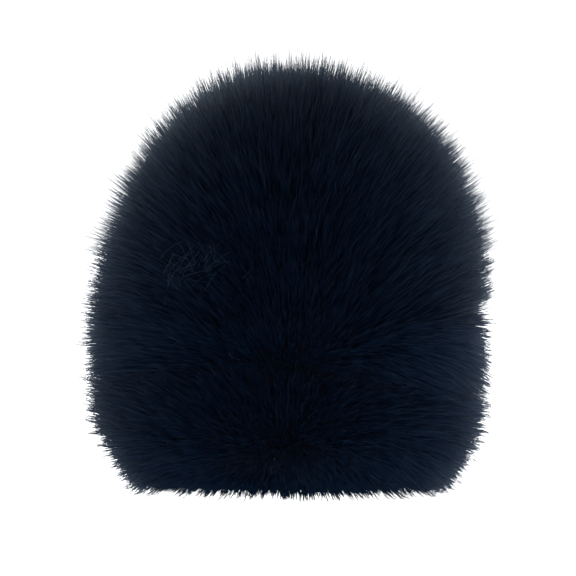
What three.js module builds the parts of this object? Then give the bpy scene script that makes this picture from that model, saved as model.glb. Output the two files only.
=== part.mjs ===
// A furry windscreen for a handheld sound recorder: a four-gore bag of long-pile fabric over a foam wall and a mesh
// lining, with a bound rim below and a stretch cuff that ends in an elastic mouth.
// Millimetres, +Z up, front towards -Y, origin on the floor under the middle.
import * as THREE from "three";

// The brushed-out pile.
const FUR_WIDTH = 117;
const FUR_DEPTH = 97;
const FUR_HEIGHT = 125;
const FOOT_WIDTH = 86; // of the line where the pile meets the floor
const FOOT_DEPTH = 68;
// The sewn bag under the pile, measured at the inner face of its knitted backing.
const BAG_WIDTH = 88.6;
const BAG_DEPTH = 68.6;
const BAG_TOP = 109.5;
const BAG_LEVEL = 36; // height of its widest section
const BAG_ABOVE = [2.2, 2.4]; // roundness of its meridians above that level, on the left and on the right
const BAG_BELOW = 5; // and below it
// The rim that the gores end at, under the bag.
const RIM_WIDTH = 77;
const RIM_DEPTH = 56;
const RIM_HEIGHT = 6;
const RIM_INWARDS = 1.36; // how far a millimetre of inset narrows a layer's rim, in all
const RIM_UPWARDS = 0.73; // and how far it lifts it
// Layers inside the bag, as thicknesses.
const TAPE = 0.7;
const FOAM = 6;
const FOAM_AT_RIM = 2.5;
const LINING = 0.8;
const GAP = 0.3; // between pieces that touch
const BINDING = 1.1;
const BINDING_LOW = 2.6; // height of its lower edge
const BINDING_INSET = 0.35; // from the rim's line to its outer face
const LIP_SHARE = 0.9; // where its lip ends on the lining, as a share of the way from the crown to the rim
const LIP_CLEAR = [0.4, 0.5]; // from the lining to the lip, at the rim and at the lip's end
const LIP_SLANT = 0.2; // the lip starts this far below the lining's rim and ends this far above its share
// The elastic mouth: a stadium of two half turns and two straight runs.
const MOUTH_TURN = 14; // radius of its half turns, at the middle of the band
const MOUTH_STRAIGHT = 34;
const BAND_LOW = 1;
const BAND_HIGH = 8;
const TAPE_WALL = 0.7; // the folded tape round the elastic
const ELASTIC_THICK = 1.4;
const ELASTIC_TALL = 5.6;
const CUFF_LOW = 4.4;
const CUFF_THICK = 1;
const CUFF_CLEAR = 0.15; // added to the gap from the binding
const THREAD = 0.5; // side of a square thread
const STITCH_SWING = 0.3; // how far a thread zigzags to each side
const RIM_STITCHES = 50;
const RIM_STITCH_HEIGHT = 3.4;
const MOUTH_STITCHES = 24; // on each half
const MOUTH_STITCH_HEIGHT = 7;

const TURN = Math.PI * 2;
const FRONT = -Math.PI / 2;
const SEAM_TURN = THREE.MathUtils.degToRad(42); // from the side's middle to a seam
const GORE_SHIFT = 0.22; // each gore stands this far out, which opens its seams by GAP
const PLAN_POWER = 2.3; // roundness of a level section: 2 is an ellipse
const RIM_POWER = 2.4;
// Every layer has its corners at the same azimuths and shares of the height, so that the layers stay apart
// between them.
const COLUMNS = 8; // in one gore
const ROWS = 14;

const SAME_POINT = 1e-6; // corners closer than this are one corner

const mix = THREE.MathUtils.lerp;

// The distance from the axis to a superellipse, in one direction.
function reachOf(azimuth, width, depth, power) {
  const across = (Math.abs(Math.cos(azimuth)) / (width / 2)) ** power;
  const along = (Math.abs(Math.sin(azimuth)) / (depth / 2)) ** power;
  return (across + along) ** (-1 / power);
}

// A point at a distance from the axis and a height, in one direction.
function polar(azimuth, radius, height) {
  return new THREE.Vector3(radius * Math.cos(azimuth), radius * Math.sin(azimuth), height);
}

const rimAt = (azimuth) => reachOf(azimuth, RIM_WIDTH, RIM_DEPTH, RIM_POWER);

// A closed-topped bag. Each meridian is a quarter of a superellipse above the widest level and another below it that
// stops at the rim. The left shoulder is lower and rounder than the right one, as the soft bag settles.
function bagSurface(form) {
  return (azimuth, share) => {
    const lean = THREE.MathUtils.smoothstep(Math.cos(azimuth), -1, 1);
    const level = mix(form.level[0], form.level[1], lean);
    const above = mix(form.above[0], form.above[1], lean);
    const below = mix(form.below[0], form.below[1], lean);
    const reach = reachOf(azimuth, form.width, form.depth, PLAN_POWER);
    const narrowing = reachOf(azimuth, form.rimWidth, form.rimDepth, RIM_POWER) / reach;
    const drop = (level - form.rimHeight) / (1 - narrowing ** below) ** (1 / below);
    const turn = share * (Math.PI - Math.asin(narrowing ** (below / 2)));
    const up = Math.cos(turn);
    const radius = reach * Math.sin(turn) ** (2 / (up > 0 ? above : below));
    const rise = up > 0 ? (form.top - level) * up ** (2 / above) : -drop * (-up) ** (2 / below);
    return polar(azimuth, radius, level + rise);
  };
}

const dome = bagSurface({
  width: FUR_WIDTH,
  depth: FUR_DEPTH,
  top: FUR_HEIGHT,
  level: [38, 58],
  above: [2.06, 2.2],
  below: [2.45, 4.3],
  rimWidth: FOOT_WIDTH,
  rimDepth: FOOT_DEPTH,
  rimHeight: 0,
});

// The pile's surface: the dome, and from its foot in to the rim a flat ring, where it is pressed on the floor.
function pile(azimuth, share) {
  if (share === 1) return polar(azimuth, rimAt(azimuth), 0);
  return dome(azimuth, Math.min((share * ROWS) / (ROWS - 1), 1));
}

// A surface inside the bag's backing, that many millimetres in on the wall and that many at the rim, where the layers
// are stacked up and inwards.
function layer(inset, insetAtRim) {
  return bagSurface({
    width: BAG_WIDTH - 2 * inset,
    depth: BAG_DEPTH - 2 * inset,
    top: BAG_TOP - inset,
    level: [BAG_LEVEL, BAG_LEVEL],
    above: BAG_ABOVE,
    below: [BAG_BELOW, BAG_BELOW],
    rimWidth: RIM_WIDTH - RIM_INWARDS * insetAtRim,
    rimDepth: RIM_DEPTH - RIM_INWARDS * insetAtRim,
    rimHeight: RIM_HEIGHT + RIM_UPWARDS * insetAtRim,
  });
}

const FOAM_AT = GAP + TAPE + 2 * GAP; // the foam lies behind the seam tapes
const LINING_AT = FOAM_AT + FOAM + GAP;
const LINING_AT_RIM = FOAM_AT + FOAM_AT_RIM + GAP;
const backing = layer(0, 0);
const foamOutside = layer(FOAM_AT, FOAM_AT);
const foamInside = layer(FOAM_AT + FOAM, FOAM_AT + FOAM_AT_RIM);
const liningOutside = layer(LINING_AT, LINING_AT_RIM);
const liningInside = layer(LINING_AT + LINING, LINING_AT_RIM + LINING);

// A closed solid skinned over a row of sections with the same number of points. A section's first half runs along one
// side of it and its second half back along the other, so that its ends can be capped in strips.
function skin(sections, loop = false) {
  const corners = [];
  const face = (a, b, c) => {
    if (Math.min(a.distanceTo(b), b.distanceTo(c), c.distanceTo(a)) > SAME_POINT) corners.push(a, b, c);
  };
  const quad = (a, b, c, d) => {
    face(a, b, c);
    face(a, c, d);
  };
  const count = sections[0].length;
  for (let i = loop ? 0 : 1; i < sections.length; i++) {
    const near = sections.at(i - 1);
    for (let j = 0; j < count; j++) {
      const next = (j + 1) % count;
      quad(near[j], near[next], sections[i][next], sections[i][j]);
    }
  }
  const first = sections[0];
  const last = sections.at(-1);
  for (let j = 0; !loop && j < count / 2 - 1; j++) {
    quad(first[count - 1 - j], first[count - 2 - j], first[j + 1], first[j]);
    quad(last[j], last[j + 1], last[count - 2 - j], last[count - 1 - j]);
  }
  let volume = 0;
  for (let i = 0; i < corners.length; i += 3) {
    volume += corners[i].dot(new THREE.Vector3().crossVectors(corners[i + 1], corners[i + 2]));
  }
  return new THREE.BufferGeometry().setFromPoints(volume > 0 ? corners : corners.reverse());
}

// Evenly spaced numbers from one value to another, both included.
function spaced(from, to, steps) {
  return Array.from({ length: steps + 1 }, (_, i) => mix(from, to, i / steps));
}

// The part of a shell between two surfaces along a row of azimuths, from the crown down to the rim.
function shell(outside, inside, azimuths) {
  const section = (azimuth) => [
    ...spaced(0, 1, ROWS).map((share) => outside(azimuth, share)),
    ...spaced(1, 0, ROWS).map((share) => inside(azimuth, share)),
  ];
  return skin(azimuths.map(section));
}

const windscreen = new THREE.Group();

function add(name, geometry, material, place = [0, 0, 0]) {
  const mesh = new THREE.Mesh(geometry, material);
  mesh.name = name;
  mesh.position.set(...place);
  windscreen.add(mesh);
}

const cloth = (color, roughness) => new THREE.MeshStandardMaterial({ color, roughness, metalness: 0 });
const fur = cloth(0x0b1018, 0.75);
const foam = cloth(0x17191c, 0.95);
const mesh = cloth(0x121316, 0.85);
const webbing = cloth(0x14161a, 0.8);
const knit = cloth(0x101216, 0.9);
const rubberCore = cloth(0x1c1d20, 0.7);
const thread = cloth(0x1e2126, 0.6);
const satin = cloth(0xb9bbbd, 0.5);

// The four gores of fur and, behind them, the four of foam, cut to the same pattern.
const GORES = [
  { side: "front", middle: FRONT, half: Math.PI / 2 - SEAM_TURN, out: [0, -1] },
  { side: "right", middle: 0, half: SEAM_TURN, out: [1, 0] },
  { side: "back", middle: -FRONT, half: Math.PI / 2 - SEAM_TURN, out: [0, 1] },
  { side: "left", middle: Math.PI, half: SEAM_TURN, out: [-1, 0] },
];
for (const { side, middle, half, out } of GORES) {
  const azimuths = spaced(middle - half, middle + half, COLUMNS);
  const place = [out[0] * GORE_SHIFT, out[1] * GORE_SHIFT, 0];
  add(`fur_${side}_gore`, shell(pile, backing, azimuths), fur, place);
  add(`foam_${side}_gore`, shell(foamOutside, foamInside, azimuths), foam, place);
}

// The mesh lining is two halves with a seam up each side.
const backAzimuths = [
  ...spaced(0, SEAM_TURN, COLUMNS / 2),
  ...spaced(SEAM_TURN, Math.PI - SEAM_TURN, COLUMNS).slice(1, -1),
  ...spaced(Math.PI - SEAM_TURN, Math.PI, COLUMNS / 2),
];
const frontAzimuths = backAzimuths.map((azimuth) => azimuth - Math.PI);
add("lining_front", shell(liningOutside, liningInside, frontAzimuths), mesh, [0, -GAP / 2, 0]);
add("lining_back", shell(liningOutside, liningInside, backAzimuths), mesh, [0, GAP / 2, 0]);

// A tape covers each seam's raw edges behind the backing, from the rim to the patch at the crown.
const TAPE_WIDTH = 9;
const TAPE_START = 3; // the row that a tape starts at, clear of the patch
const tapeOutside = layer(GAP, GAP);
const tapeInside = layer(GAP + TAPE, GAP + TAPE);
function seamTape(seam) {
  const section = (share) => {
    const turn = TAPE_WIDTH / 2 / Math.hypot(tapeInside(seam, share).x, tapeInside(seam, share).y);
    return [
      ...[-turn, 0, turn].map((aside) => tapeOutside(seam + aside, share)),
      ...[turn, 0, -turn].map((aside) => tapeInside(seam + aside, share)),
    ];
  };
  return skin(spaced(0, 1, ROWS).slice(TAPE_START).map(section));
}
const SEAMS = {
  front_right: -SEAM_TURN,
  back_right: SEAM_TURN,
  back_left: Math.PI - SEAM_TURN,
  front_left: SEAM_TURN - Math.PI,
};
for (const [corner, azimuth] of Object.entries(SEAMS)) {
  add(`seam_tape_${corner}`, seamTape(azimuth), webbing);
}

// The crown patch is a disc where the four seams meet.
const PATCH_ROWS = 3;
const patchSection = (azimuth) => [
  ...spaced(0, 1, ROWS).slice(0, PATCH_ROWS).map((share) => tapeOutside(azimuth, share)),
  ...spaced(0, 1, ROWS).slice(0, PATCH_ROWS).reverse().map((share) => tapeInside(azimuth, share)),
];
const roundAzimuths = [...frontAzimuths, ...backAzimuths.slice(1, -1)];
add("crown_patch", skin(roundAzimuths.map(patchSection), true), webbing);

// The rim binding closes the edges of all the layers, with a lip up the lining.
const RIM_STEPS = 40;
function bindingSection(azimuth) {
  const flat = (p, inwards, up) => [Math.hypot(p.x, p.y) - inwards, p.z + up];
  const outer = [
    [rimAt(azimuth) - BINDING_INSET, BINDING_LOW],
    [rimAt(azimuth) - BINDING_INSET, RIM_HEIGHT - GAP],
    flat(liningInside(azimuth, 1), LIP_CLEAR[0], -LIP_SLANT),
    flat(liningInside(azimuth, LIP_SHARE), LIP_CLEAR[1], LIP_SLANT),
  ];
  const inner = outer.map(([radius, height]) => [radius - BINDING, height]).reverse();
  return [...outer, ...inner].map(([radius, height]) => polar(azimuth, radius, height));
}
add("rim_binding", skin(spaced(0, TURN, RIM_STEPS).slice(1).map(bindingSection), true), webbing);

// A thread that zigzags along a line. place(along, out, height) gives a point at that share of the line.
function zigzag(stitches, loop, place) {
  const half = THREAD / 2;
  const section = (along, i) => {
    const shift = (i % 2 ? 1 : -1) * STITCH_SWING;
    return [
      place(along, -half, shift - half),
      place(along, half, shift - half),
      place(along, half, shift + half),
      place(along, -half, shift + half),
    ];
  };
  const alongs = spaced(0, 1, 2 * stitches);
  return skin((loop ? alongs.slice(1) : alongs).map(section), loop);
}
const rimStitchInset = BINDING_INSET + BINDING + GAP + THREAD / 2;
const rimStitchAt = (along, out, height) =>
  polar(along * TURN, rimAt(along * TURN) - rimStitchInset + out, RIM_STITCH_HEIGHT + height);
add("rim_stitch", zigzag(RIM_STITCHES, true, rimStitchAt), thread);

// Half of the mouth's line, from one side's middle round the front to the other's, and the way out of it there.
const MOUTH_GAP = 0.6; // between the two halves
const QUARTER_STEPS = 8;
const halfTurns = spaced(-Math.PI, FRONT, QUARTER_STEPS).concat(spaced(FRONT, 0, QUARTER_STEPS));
function mouthPoint(index, out, height, sign) {
  const turn = halfTurns[index];
  const centre = (index <= QUARTER_STEPS ? -1 : 1) * (MOUTH_STRAIGHT / 2);
  const reach = MOUTH_TURN + out;
  return new THREE.Vector3(
    centre + reach * Math.cos(turn),
    sign * (reach * Math.sin(turn) - MOUTH_GAP / 2),
    height,
  );
}
const along = (sign, profile) =>
  skin(halfTurns.map((_, i) => profile.map(([out, height]) => mouthPoint(i, out, height, sign))));

const ROOM = ELASTIC_THICK / 2 + GAP; // from the band's middle to the tape's inner faces
const BAND = ROOM + TAPE_WALL; // and to its outer faces
const foldedTape = [
  [-BAND, BAND_HIGH],
  [-BAND, BAND_LOW],
  [BAND, BAND_LOW],
  [BAND, BAND_HIGH],
  [ROOM, BAND_HIGH],
  [ROOM, BAND_LOW + TAPE_WALL],
  [-ROOM, BAND_LOW + TAPE_WALL],
  [-ROOM, BAND_HIGH],
];
const ELASTIC_LOW = BAND_LOW + TAPE_WALL + GAP;
const elastic = [
  [-ELASTIC_THICK / 2, ELASTIC_LOW],
  [ELASTIC_THICK / 2, ELASTIC_LOW],
  [ELASTIC_THICK / 2, ELASTIC_LOW + ELASTIC_TALL],
  [-ELASTIC_THICK / 2, ELASTIC_LOW + ELASTIC_TALL],
];

// The stretch cuff fills the space between the rim binding and the band. Each half is a flat crescent.
const CUFF_STEPS = 24;
const cuffInset = BINDING_INSET + BINDING + GAP + CUFF_CLEAR;
function cuffHalf(sign) {
  const outer = spaced(-Math.PI, 0, CUFF_STEPS).map((azimuth) => {
    const p = polar(azimuth, rimAt(azimuth) - cuffInset, 0);
    return new THREE.Vector2(p.x, p.y - GAP / 2);
  });
  const inner = halfTurns.map((_, i) => mouthPoint(i, BAND + GAP, 0, 1)).reverse();
  const outline = [...outer, ...inner.map((p) => new THREE.Vector2(p.x, p.y))];
  const shape = new THREE.Shape(outline.map((p) => new THREE.Vector2(p.x, sign * p.y)));
  return new THREE.ExtrudeGeometry(shape, { depth: CUFF_THICK, bevelEnabled: false });
}

// The thread that closes the folded tape runs round its outer face, above the cuff.
const mouthLine = halfTurns.map((_, i) => mouthPoint(i, 0, 0, 1));
const mouthPath = new THREE.CurvePath();
mouthLine.slice(1).forEach((p, i) => mouthPath.add(new THREE.LineCurve3(mouthLine[i], p)));
function bandStitchPlace(sign) {
  return (share, out, height) => {
    const p = mouthPath.getPointAt(share);
    const centre = THREE.MathUtils.clamp(p.x, -MOUTH_STRAIGHT / 2, MOUTH_STRAIGHT / 2);
    const away = new THREE.Vector3(p.x - centre, p.y + MOUTH_GAP / 2, 0).normalize();
    p.addScaledVector(away, BAND + GAP + THREAD / 2 + out);
    return new THREE.Vector3(p.x, sign * p.y, MOUTH_STITCH_HEIGHT + height);
  };
}

for (const [side, sign] of [["front", 1], ["back", -1]]) {
  add(`mouth_tape_${side}`, along(sign, foldedTape), webbing);
  add(`mouth_elastic_${side}`, along(sign, elastic), rubberCore);
  add(`mouth_stitch_${side}`, zigzag(MOUTH_STITCHES, false, bandStitchPlace(sign)), thread);
  add(`cuff_${side}`, cuffHalf(sign), knit, [0, 0, CUFF_LOW]);
}

// A bar tack holds the ends of the two bands to the rim at each side.
const TACK = [3, 6, 0.9];
for (const [side, sign] of [["right", 1], ["left", -1]]) {
  const middle = MOUTH_STRAIGHT / 2 + MOUTH_TURN + BAND + GAP + TACK[0] / 2;
  const place = [sign * middle, 0, CUFF_LOW - GAP - TACK[2] / 2];
  add(`bar_tack_${side}`, new THREE.BoxGeometry(...TACK), thread, place);
}

// A plain label hangs inside the back of the lining.
const LABEL = [14, 0.6, 20];
const LABEL_CLEAR = 1.1; // from the lining to its middle
const LABEL_HEIGHT = 32;
const labelDepth = BAG_DEPTH / 2 - LINING_AT - LINING - LABEL_CLEAR;
add("care_label", new THREE.BoxGeometry(...LABEL), satin, [0, labelDepth, LABEL_HEIGHT]);

export default windscreen;
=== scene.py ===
# %% [markdown]
# # A furry windscreen
# A furry windscreen is a small fur coat for a microphone. Wind that reaches a bare microphone rumbles; long
# fibres slow it down first, and a wall of foam behind them holds a pocket of still air. This lesson builds
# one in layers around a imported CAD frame: the studio, the pile, the layers inside it, and the stretch mouth
# that grips a recorder.

import bmesh
import bpy
import numpy as np
from mathutils import Matrix, Vector


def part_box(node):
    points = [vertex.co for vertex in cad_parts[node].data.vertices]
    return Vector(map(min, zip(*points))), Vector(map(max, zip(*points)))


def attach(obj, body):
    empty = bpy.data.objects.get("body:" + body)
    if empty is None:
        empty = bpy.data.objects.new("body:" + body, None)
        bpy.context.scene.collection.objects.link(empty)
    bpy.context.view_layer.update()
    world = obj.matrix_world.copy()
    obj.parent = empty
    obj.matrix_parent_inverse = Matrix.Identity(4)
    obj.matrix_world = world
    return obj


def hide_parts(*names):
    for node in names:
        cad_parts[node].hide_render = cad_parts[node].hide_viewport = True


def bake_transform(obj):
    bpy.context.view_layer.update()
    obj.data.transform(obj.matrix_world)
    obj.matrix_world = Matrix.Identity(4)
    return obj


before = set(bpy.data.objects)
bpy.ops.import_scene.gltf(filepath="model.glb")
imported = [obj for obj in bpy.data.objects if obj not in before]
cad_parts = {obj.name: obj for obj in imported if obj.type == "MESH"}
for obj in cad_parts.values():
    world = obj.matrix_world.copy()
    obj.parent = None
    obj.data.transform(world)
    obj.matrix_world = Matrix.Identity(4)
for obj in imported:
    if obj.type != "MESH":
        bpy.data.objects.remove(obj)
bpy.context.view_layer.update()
SIDES = ("front", "right", "back", "left")

# %% [markdown]
# ## The camera
# A product picture of a soft object is taken from a little above its middle with a long lens, so that its
# outline isn't bent by perspective. The camera's distance follows from the lens: the wanted width at the
# object, over the sensor's width, times the focal length.

# %% Set up the camera
MM = 0.001
LENS_MM = 180
SENSOR_MM = 36
VIEW_WIDTH = 168 * MM
VIEW_CENTRE = Vector((0, 0, 59.5 * MM))
CAMERA_RISE = np.radians(1.0)

camera_data = bpy.data.cameras.new("camera")
camera_data.lens = LENS_MM
camera_data.sensor_width = SENSOR_MM
camera = bpy.data.objects.new("camera", camera_data)
bpy.context.scene.collection.objects.link(camera)
camera_distance = VIEW_WIDTH / SENSOR_MM * LENS_MM
towards = Vector((0, -np.cos(CAMERA_RISE), np.sin(CAMERA_RISE)))
camera.location = VIEW_CENTRE + towards * camera_distance
camera.rotation_euler = towards.to_track_quat("Z", "Y").to_euler()
bpy.context.scene.camera = camera
print("camera stands", round(camera_distance, 3), "m away")

# %% [markdown]
# ## Shader maths as plain Python
# A material is a graph of nodes. Wrapping a socket in a small class lets the graph be written as sums and
# products, and one method adds every other kind of node: its type, its settings, then the values or links of
# its sockets.


# %% Wrap a socket
class Wire:
    """An output socket in one material's node tree, with arithmetic that adds Math nodes."""

    def __init__(self, tree, socket):
        self.tree = tree
        self.socket = socket

    def node(self, kind, settings=None, out=0, **inputs):
        """Adds a node, applies its settings, links or sets its inputs, and wraps one of its outputs."""
        return add_node(self.tree, kind, settings, out, **inputs)

    def maths(self, operation, *values):
        """Adds a Math node that does the operation on the values, each a wire or a number."""
        inputs = {str(number): value for number, value in enumerate(values)}
        return self.node("ShaderNodeMath", {"operation": operation}, **inputs)

    def __add__(self, other):
        return self.maths("ADD", self, other)

    def __sub__(self, other):
        return self.maths("SUBTRACT", self, other)

    def __mul__(self, other):
        return self.maths("MULTIPLY", self, other)

    def __rsub__(self, other):
        return self.maths("SUBTRACT", other, self)

    __radd__ = __add__
    __rmul__ = __mul__


def add_node(tree, kind, settings=None, out=0, **inputs):
    """A new node. An input is named by its label with _ for a space, or by its number as text."""
    node = tree.nodes.new(kind)
    for name, value in (settings or {}).items():
        if name == "stops":
            fill_ramp(node.color_ramp, value)
        else:
            setattr(node, name, value)
    for name, value in inputs.items():
        socket = node.inputs[int(name)] if name.isdigit() else node.inputs[name.replace("_", " ")]
        if isinstance(value, Wire):
            tree.links.new(value.socket, socket)
        else:
            socket.default_value = value
    return Wire(tree, node.outputs[out])


def fill_ramp(ramp, stops):
    """Gives a colour ramp its stops, each a position and a colour or a grey value."""
    while len(ramp.elements) < len(stops):
        ramp.elements.new(1.0)
    for element, (position, colour) in zip(ramp.elements, stops):
        element.position = position
        element.color = (*colour, 1) if hasattr(colour, "__len__") else (colour, colour, colour, 1)


def principled(name, slot, **constants):
    """A material with one Principled shader, its constant sockets set, and its node tree ready for more."""
    material = bpy.data.materials.new(name)
    material.use_nodes = True
    tree = material.node_tree
    shader = tree.nodes["Principled BSDF"]
    for label, value in constants.items():
        shader.inputs[label.replace("_", " ")].default_value = value
    material["slot"] = slot
    return material, tree, shader


def drive(tree, shader, label, wire):
    """Links a wire to one of the shader's sockets."""
    tree.links.new(wire.socket, shader.inputs[label])


# %% [markdown]
# ## The studio
# The cover is nearly black, so it needs a bright room: what shows on black fibre is mostly the reflection of
# the light round it. Most of the light comes evenly from a white sky and from a pale floor that glows. Three
# weak soft lamps stand above, behind and beside the object, where they lift its outline.

# %% Build the studio
scene = bpy.context.scene
scene.view_settings.view_transform = "Standard"
scene.view_settings.look = "None"

WHITE = (1, 1, 1, 1)
FLOOR_SIZE = 30
FLOOR_GREY = 0.92
FLOOR_GLOW = 2.0
SKY_SEEN = 1.3  # the sky's brightness to the camera
SKY_LIGHT = 0.4  # and as a light


def make_world():
    """A white sky that is brighter to the camera than it is as a lamp."""
    world = bpy.data.worlds.new("studio_sky")
    world.use_nodes = True
    tree = world.node_tree
    seen = add_node(tree, "ShaderNodeLightPath", out=0)
    sky = tree.nodes["Background"]
    drive(tree, sky, "Strength", seen * (SKY_SEEN - SKY_LIGHT) + SKY_LIGHT)
    sky.inputs["Color"].default_value = WHITE
    return world


scene.world = make_world()

floor_mesh = bpy.data.meshes.new("studio_floor")
half = FLOOR_SIZE / 2
floor_corners = [(-half, -half, 0), (half, -half, 0), (half, half, 0), (-half, half, 0)]
floor_mesh.from_pydata(floor_corners, [], [(0, 1, 2, 3)])
floor = bpy.data.objects.new("studio_floor", floor_mesh)
scene.collection.objects.link(floor)
floor_material, _, floor_shader = principled("studio_floor", None, Roughness=0.9)
floor_shader.inputs["Base Color"].default_value = (FLOOR_GREY, FLOOR_GREY, FLOOR_GREY, 1)
floor_shader.inputs["Emission Color"].default_value = WHITE
floor_shader.inputs["Emission Strength"].default_value = FLOOR_GLOW
floor_mesh.materials.append(floor_material)


def softbox(name, place, size, power):
    """A square lamp of that size in metres, aimed at the object's middle."""
    data = bpy.data.lights.new(name, "AREA")
    data.size = size
    data.energy = power
    lamp = bpy.data.objects.new(name, data)
    lamp.location = place
    lamp.rotation_euler = (Vector(place) - VIEW_CENTRE).to_track_quat("Z", "Y").to_euler()
    scene.collection.objects.link(lamp)


softbox("lamp_top", (0.1, 0.3, 0.9), 1.0, 6)
softbox("lamp_right", (0.9, 0.3, 0.2), 0.8, 5.5)
softbox("lamp_left", (-0.9, 0.3, 0.2), 0.8, 5)

# %% [markdown]
# ## The bag's shape
# Every layer of the cover is the same soft bag at another distance from its middle. A level section is a
# superellipse, which is an ellipse whose power is a little above 2, so that it is squarer. Each meridian is a
# quarter of a superellipse above the widest level, and another below it that stops at the rim.


# %% Describe the bag
def reach(azimuth, width, depth, power):
    """Distance from the axis to a superellipse: (|cos a / (w/2)|^n + |sin a / (d/2)|^n) ^ (-1/n)."""
    across = (np.abs(np.cos(azimuth)) / (width / 2)) ** power
    along = (np.abs(np.sin(azimuth)) / (depth / 2)) ** power
    return (across + along) ** (-1 / power)


def polar(azimuth, radius, height):
    """The point at a distance from the axis, in one direction, at a height."""
    return np.stack([radius * np.cos(azimuth), radius * np.sin(azimuth), height + 0 * azimuth], axis=-1)


def smooth(x):
    """3x^2 - 2x^3 between 0 and 1."""
    x = np.clip(x, 0, 1)
    return x * x * (3 - 2 * x)


PLAN_POWER = 2.3
RIM_POWER = 2.4


class Bag:
    """A closed-topped surface. A share runs from 0 at the crown to 1 at the rim."""

    def __init__(self, width, depth, top, level, above, below, rim_width, rim_depth, rim_height):
        self.width, self.depth, self.top = width, depth, top
        self.level, self.above, self.below = level, above, below
        self.rim_width, self.rim_depth, self.rim_height = rim_width, rim_depth, rim_height

    def point(self, azimuth, share):
        """Radius is reach x sin(turn)^(2/n), and height is the widest level plus or minus cos(turn)^(2/n)."""
        azimuth, share = np.broadcast_arrays(np.asarray(azimuth, float), np.asarray(share, float))
        lean = smooth((np.cos(azimuth) + 1) / 2)
        ranges = (self.level, self.above, self.below)
        level, above, below = (low + (high - low) * lean for low, high in ranges)
        wide = reach(azimuth, self.width, self.depth, PLAN_POWER)
        narrowing = reach(azimuth, self.rim_width, self.rim_depth, RIM_POWER) / wide
        drop = (level - self.rim_height) / (1 - narrowing**below) ** (1 / below)
        turn = share * (np.pi - np.arcsin(narrowing ** (below / 2)))
        up = np.cos(turn)
        power = np.where(up > 0, above, below)
        radius = wide * np.sin(turn) ** (2 / power)
        rise = np.sign(up) * np.abs(up) ** (2 / power)
        height = level + rise * np.where(up > 0, self.top - level, drop)
        return polar(azimuth, radius, height)


fur_low = np.min([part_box(f"fur_{side}_gore")[0] for side in SIDES], axis=0)
fur_high = np.max([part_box(f"fur_{side}_gore")[1] for side in SIDES], axis=0)
rim_low, rim_high = (np.array(corner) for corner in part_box("rim_binding"))
RIM_EASE = 0.7 * MM  # how much wider the backing's rim is than the binding in the frame
RIM_WIDTH = rim_high[0] - rim_low[0] + RIM_EASE
RIM_DEPTH = rim_high[1] - rim_low[1] + RIM_EASE
RIM_HEIGHT = 6 * MM
SEAM_TURN = np.radians(42)

PILE_LOW = 0.9 * MM  # the pile thins out above the floor, and only its long fibres reach it

dome = Bag(
    width=fur_high[0] - fur_low[0],
    depth=fur_high[1] - fur_low[1],
    top=fur_high[2],
    level=(38 * MM, 58 * MM),
    above=(2.06, 2.2),
    below=(2.3, 4.3),
    rim_width=86 * MM,
    rim_depth=68 * MM,
    rim_height=PILE_LOW,
)


BACKING_WIDTH, BACKING_DEPTH, BACKING_TOP = 88.6 * MM, 68.6 * MM, 109.5 * MM


def layer(inset, inset_at_rim):
    """The bag's surface that far inside its knitted backing, on the wall and at the rim."""
    return Bag(
        width=BACKING_WIDTH - 2 * inset,
        depth=BACKING_DEPTH - 2 * inset,
        top=BACKING_TOP - inset,
        level=(36 * MM, 36 * MM),
        above=(2.2, 2.4),
        below=(5, 5),
        rim_width=RIM_WIDTH - 1.36 * inset_at_rim,
        rim_depth=RIM_DEPTH - 1.36 * inset_at_rim,
        rim_height=RIM_HEIGHT + 0.73 * inset_at_rim,
    )


backing = layer(0, 0)
print("pile is", [round(float(x), 4) for x in fur_high - fur_low], "m")

# %% [markdown]
# ## Meshes from arrays
# A shape here is an array of points, one row for each section, and the faces follow from the array's shape.
# Points and faces go into the mesh in one call each, which is fast even for a hundred thousand fibres. A mesh
# may also be given normals of its own, the directions that light is reckoned from.


# %% Turn arrays into meshes
def put_mesh(name, points, faces, uv=None, normals=None):
    """An object from points (n, 3) and a list of face arrays, each (m, 3) or (m, 4). uv and normals, the
    directions a surface is shaded by, have one row per point."""
    mesh = bpy.data.meshes.new(name)
    mesh.vertices.add(len(points))
    mesh.vertices.foreach_set("co", np.ascontiguousarray(points, np.float32).ravel())
    corners = np.concatenate([f.ravel() for f in faces])
    sizes = np.concatenate([np.full(len(f), f.shape[1]) for f in faces])
    mesh.loops.add(len(corners))
    mesh.loops.foreach_set("vertex_index", corners.astype(np.int32))
    mesh.polygons.add(len(sizes))
    mesh.polygons.foreach_set("loop_start", (np.cumsum(sizes) - sizes).astype(np.int32))
    mesh.polygons.foreach_set("use_smooth", np.ones(len(sizes), bool))
    mesh.update(calc_edges=True)
    if uv is not None:
        layer_uv = mesh.uv_layers.new(name="UVMap")
        layer_uv.data.foreach_set("uv", np.ascontiguousarray(uv[corners], np.float32).ravel())
    if normals is not None:
        shaded = mesh.attributes.new("custom_normal", "FLOAT_VECTOR", "POINT")
        shaded.data.foreach_set("vector", np.ascontiguousarray(normals, np.float32).ravel())
    thing = bpy.data.objects.new(name, mesh)
    scene.collection.objects.link(thing)
    return thing


AROUND_MM = 40  # millimetres of cloth for one radian round the bag, for the UV map
DOWN_MM = 140  # and from the crown to the rim


def shell(name, outside, inside, azimuths, shares, ring=False):
    """A closed shell between two surfaces: each section runs down the outside and back up the inside."""
    azimuth, share = np.meshgrid(azimuths, shares, indexing="ij")
    grid = np.concatenate([outside(azimuth, share), inside(azimuth, share)[:, ::-1]], axis=1)
    down = np.concatenate([share, share[:, ::-1]], axis=1) * DOWN_MM
    uv = np.stack([np.repeat(azimuth[:, :1], grid.shape[1], 1) * AROUND_MM, down], axis=-1)
    return closed_skin(name, grid, uv, ring)


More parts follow.
